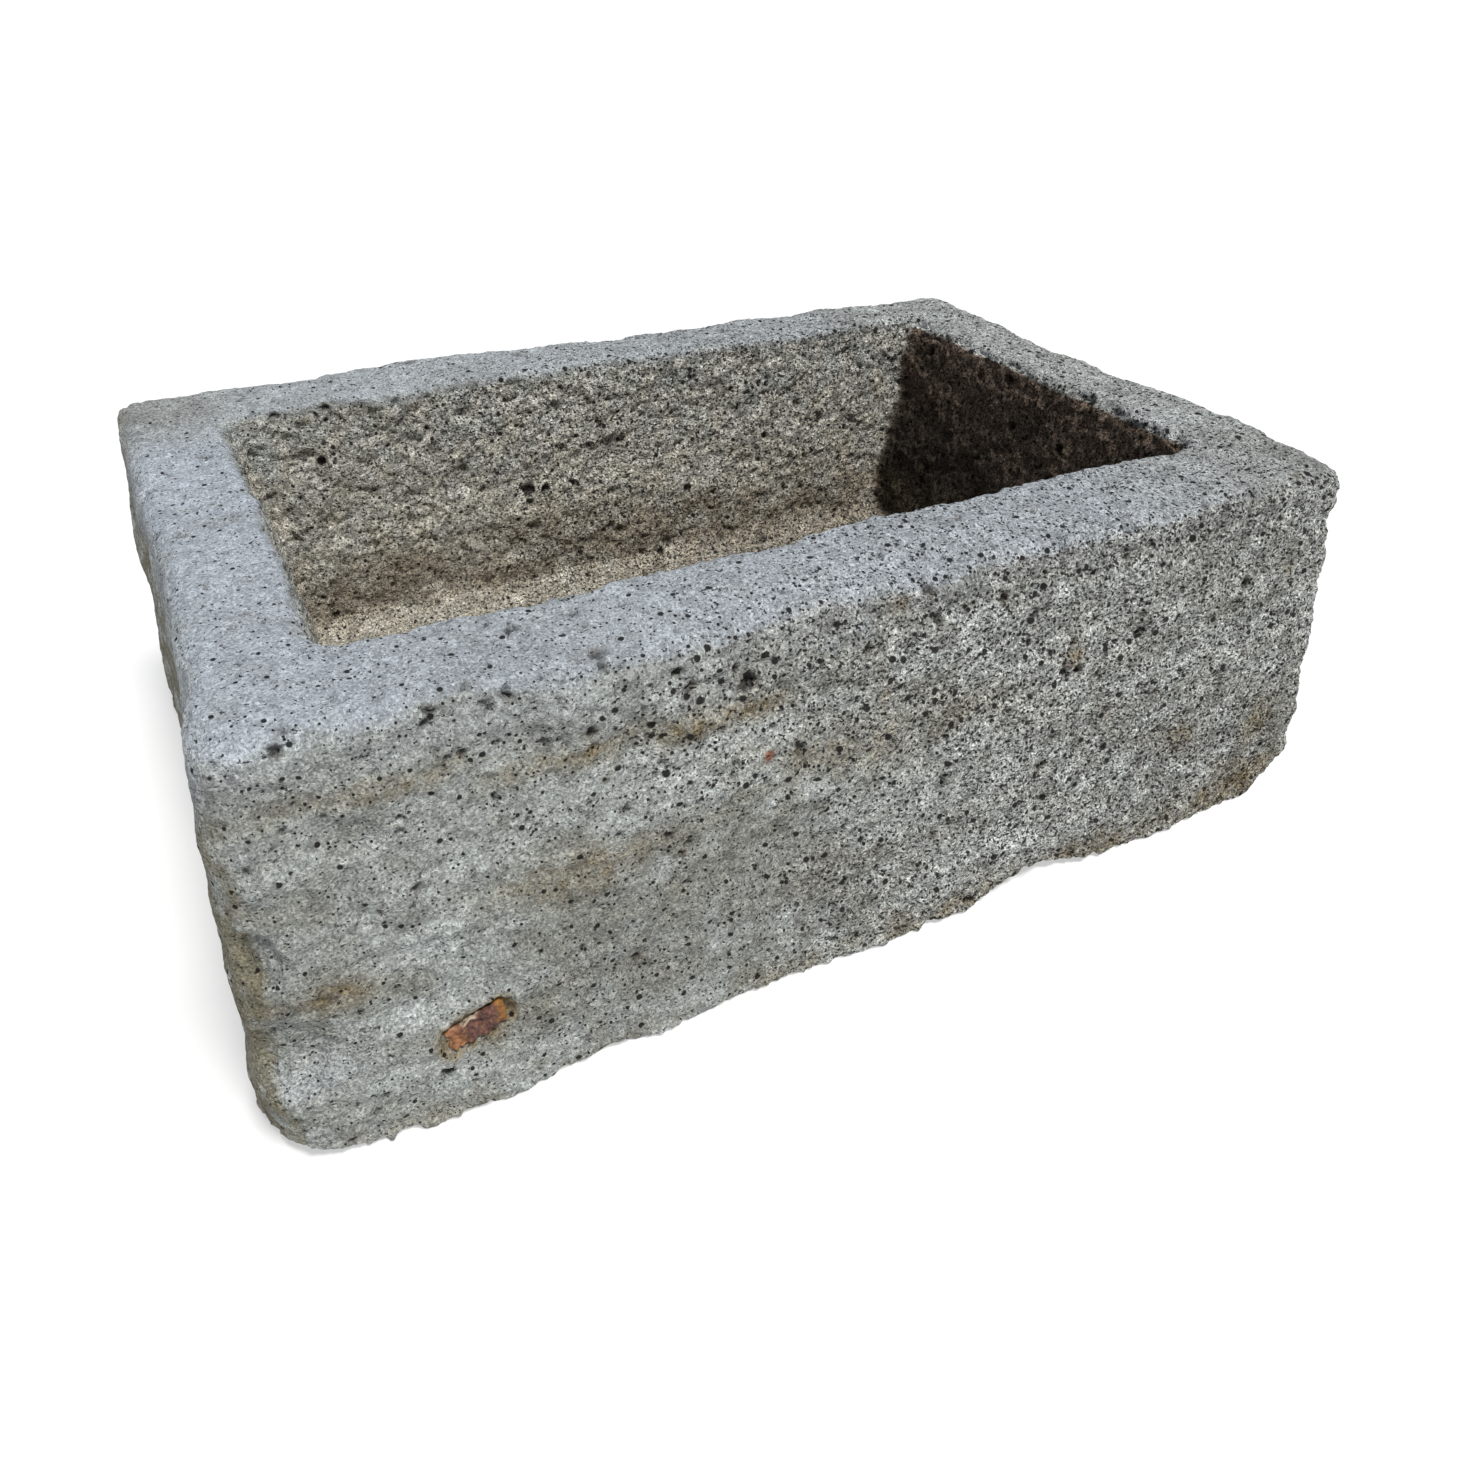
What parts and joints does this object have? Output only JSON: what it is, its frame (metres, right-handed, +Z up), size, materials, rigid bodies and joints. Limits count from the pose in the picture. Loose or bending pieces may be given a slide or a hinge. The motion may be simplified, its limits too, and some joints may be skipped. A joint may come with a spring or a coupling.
{
  "type": "stone trough planter",
  "caption": "Rectangular hand-hewn trough in porous grey lava stone with thick walls, an open planting cavity and a drain hole through its floor.",
  "frame": {"origin": "centre of the flat underside, below the middle of the box round the part", "axes": "+X along the long side, to the right seen from the front; +Y from the front face to the back; +Z up"},
  "size_m": [0.6498, 0.4388, 0.2233],
  "materials": {
    "stone": "hewn, porous and matte, with brown weather stains",
    "rusted_iron": "flaking rust"
  },
  "bodies": {
    "root": {"trough": "stone", "iron_stub": "rusted_iron"}
  },
  "joints": []
}
